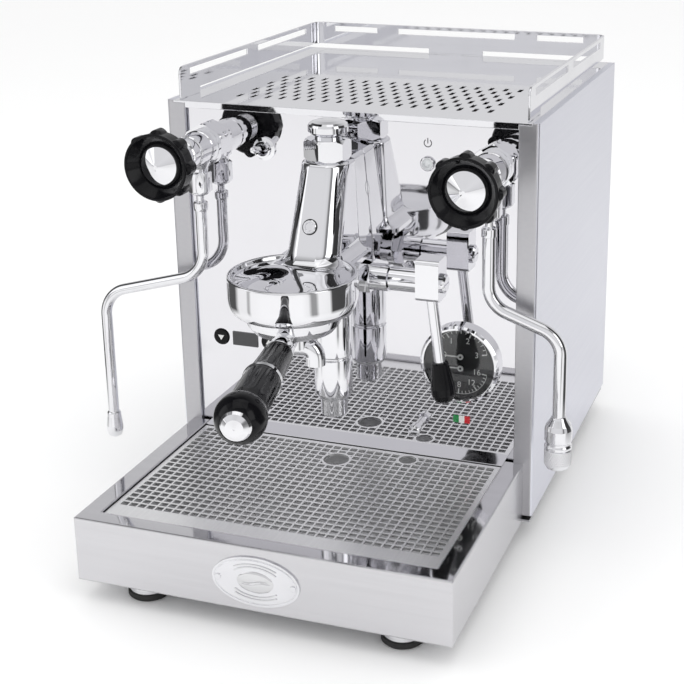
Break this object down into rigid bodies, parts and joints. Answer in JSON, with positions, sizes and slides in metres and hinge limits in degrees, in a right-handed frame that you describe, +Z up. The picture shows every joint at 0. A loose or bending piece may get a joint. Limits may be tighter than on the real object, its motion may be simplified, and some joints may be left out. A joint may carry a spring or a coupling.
{
  "type": "espresso machine",
  "caption": "Counter-top espresso machine with lever group, portafilter, steam and hot-water wands, cup rail, drip tray and full inner works.",
  "frame": {"origin": "bottom centre of the whole machine on the counter top, wands and handle included", "axes": "+X to the machine's right as the user faces it, +Y from the user towards the back, +Z up"},
  "size_m": [0.3796, 0.5298, 0.343],
  "materials": {
    "brushed": "fine brushed",
    "polished": "mirror polished steel",
    "chrome": "polished chrome plate",
    "black_plastic": "moulded, half gloss",
    "rubber": "matt",
    "dial": "printed dial",
    "glass": "clear",
    "white": "white enamel",
    "display": "smoked window",
    "lamp": "clear lens in a metal ring",
    "strip": "three-band enamel",
    "steel": "plain sheet",
    "copper": "copper and brass",
    "tank": "translucent moulding",
    "dark_plastic": "moulded"
  },
  "bodies": {
    "machine": {"foot_pads": "rubber", "foot_collars": "chrome", "base_plate": "steel", "tray_housing": "brushed", "badge": "polished", "side_left": "brushed", "side_right": "brushed", "rear_panel": "brushed", "front_panel": "polished", "panel_ledge": "polished", "cup_deck": "polished", "group_body": "chrome", "group_gasket": "rubber", "shower_screen": "steel", "group_fittings": "chrome", "exhaust_barrel": "chrome", "steam_valve": "chrome", "water_valve": "chrome", "gauge_case": "chrome", "gauge_dial": "dial", "gauge_glass": "glass", "display_window": "display", "button_holder": "dark_plastic", "toggle_bush": "chrome", "pilot_lamp": "lamp", "colour_strip": "strip", "boiler": "copper", "inner_brackets": "steel", "water_tank": "tank", "pump": "dark_plastic", "control_box": "dark_plastic", "pipes": "copper", "mains_inlet": "dark_plastic", "rear_screws": "steel"},
    "tank_lid": {"tank_lid": "polished"},
    "cup_rail": {"cup_rail": "polished"},
    "drip_pan": {"drip_pan": "steel"},
    "drip_grate": {"drip_grate": "brushed"},
    "lever": {"brew_lever": "chrome", "lever_grip": "black_plastic"},
    "brew_pin": {"brew_pin": "steel"},
    "portafilter": {"filter_bowl": "chrome", "filter_basket": "steel", "twin_spout": "chrome", "handle": "black_plastic", "handle_trim": "chrome"},
    "steam_knob": {"steam_spindle": "chrome", "steam_wheel": "black_plastic"},
    "steam_ball": {"steam_ball": "chrome"},
    "steam_wand": {"steam_wand": "chrome"},
    "water_knob": {"water_spindle": "chrome", "water_wheel": "black_plastic"},
    "water_ball": {"water_ball": "chrome"},
    "water_wand": {"water_wand": "chrome"},
    "needle_boiler": {"needle_boiler": "white"},
    "needle_pump": {"needle_pump": "white"},
    "button_down": {"button_down": "black_plastic"},
    "button_up": {"button_up": "black_plastic"},
    "toggle": {"toggle_bat": "chrome"},
    "adjuster": {"adjust_screw": "chrome"}
  },
  "joints": [
    {"name": "lever_turn", "type": "hinge", "parent": "machine", "child": "lever", "pos_m": [0.01525, -0.03708, 0.209], "axis": [-1, 0, 0], "range_deg": [0, 80]},
    {"name": "pin_lift", "type": "slide", "parent": "machine", "child": "brew_pin", "axis": [0, 0, 1], "range_m": [0, 0.0014]},
    {"name": "portafilter_turn", "type": "hinge", "parent": "machine", "child": "portafilter", "pos_m": [0.01525, -0.10308, 0.19], "axis": [0, 0, 1], "range_deg": [-60, 0]},
    {"name": "steam_knob_turn", "type": "hinge", "parent": "machine", "child": "steam_knob", "pos_m": [-0.09625, -0.06408, 0.287], "axis": [0, -1, 0], "range_deg": [0, 300]},
    {"name": "steam_ball_tilt", "type": "hinge", "parent": "machine", "child": "steam_ball", "pos_m": [-0.09625, -0.01808, 0.257], "axis": [0, 1, 0], "range_deg": [0, 18]},
    {"name": "steam_wand_turn", "type": "hinge", "parent": "steam_ball", "child": "steam_wand", "pos_m": [-0.09625, -0.01808, 0.257], "axis": [0, 0, 1], "range_deg": [-8, 60]},
    {"name": "water_knob_turn", "type": "hinge", "parent": "machine", "child": "water_knob", "pos_m": [0.12675, -0.06408, 0.287], "axis": [0, -1, 0], "range_deg": [0, 300]},
    {"name": "water_ball_tilt", "type": "hinge", "parent": "machine", "child": "water_ball", "pos_m": [0.12675, -0.01808, 0.257], "axis": [0, -1, 0], "range_deg": [0, 18]},
    {"name": "water_wand_turn", "type": "hinge", "parent": "water_ball", "child": "water_wand", "pos_m": [0.12675, -0.01808, 0.257], "axis": [0, 0, -1], "range_deg": [-8, 60]},
    {"name": "needle_boiler_turn", "type": "hinge", "parent": "machine", "child": "needle_boiler", "pos_m": [0.10175, -0.00308, 0.1415], "axis": [0, 1, 0], "range_deg": [0, 170]},
    {"name": "needle_pump_turn", "type": "hinge", "parent": "machine", "child": "needle_pump", "pos_m": [0.10175, -0.00308, 0.1325], "axis": [0, -1, 0], "range_deg": [0, 170]},
    {"name": "button_down_press", "type": "slide", "parent": "machine", "child": "button_down", "axis": [0, 1, 0], "range_m": [0, 0.0008], "stiffness_N_per_m": 300},
    {"name": "button_up_press", "type": "slide", "parent": "machine", "child": "button_up", "axis": [0, 1, 0], "range_m": [0, 0.0008], "stiffness_N_per_m": 300},
    {"name": "toggle_flip", "type": "hinge", "parent": "machine", "child": "toggle", "pos_m": [-0.05025, 0.00092, 0.2865], "axis": [1, 0, 0], "range_deg": [0, 16]},
    {"name": "adjuster_turn", "type": "hinge", "parent": "machine", "child": "adjuster", "pos_m": [0.06925, -0.00908, 0.083], "axis": [0, -1, 0], "range_deg": [0, 340]},
    {"name": "lid_lift", "type": "slide", "parent": "machine", "child": "tank_lid", "axis": [0, 0, 1], "range_m": [0, 0.04]},
    {"name": "rail_lift", "type": "slide", "parent": "machine", "child": "cup_rail", "axis": [0, 0, 1], "range_m": [0, 0.03]},
    {"name": "pan_lift", "type": "slide", "parent": "machine", "child": "drip_pan", "axis": [0, 0, 1], "range_m": [0, 0.006]},
    {"name": "grate_lift", "type": "slide", "parent": "drip_pan", "child": "drip_grate", "axis": [0, 0, 1], "range_m": [0, 0.01]}
  ],
  "couplings": [
    {"joint": "pin_lift", "follows": "lever_turn", "m_per_rad": 0.00093}
  ]
}
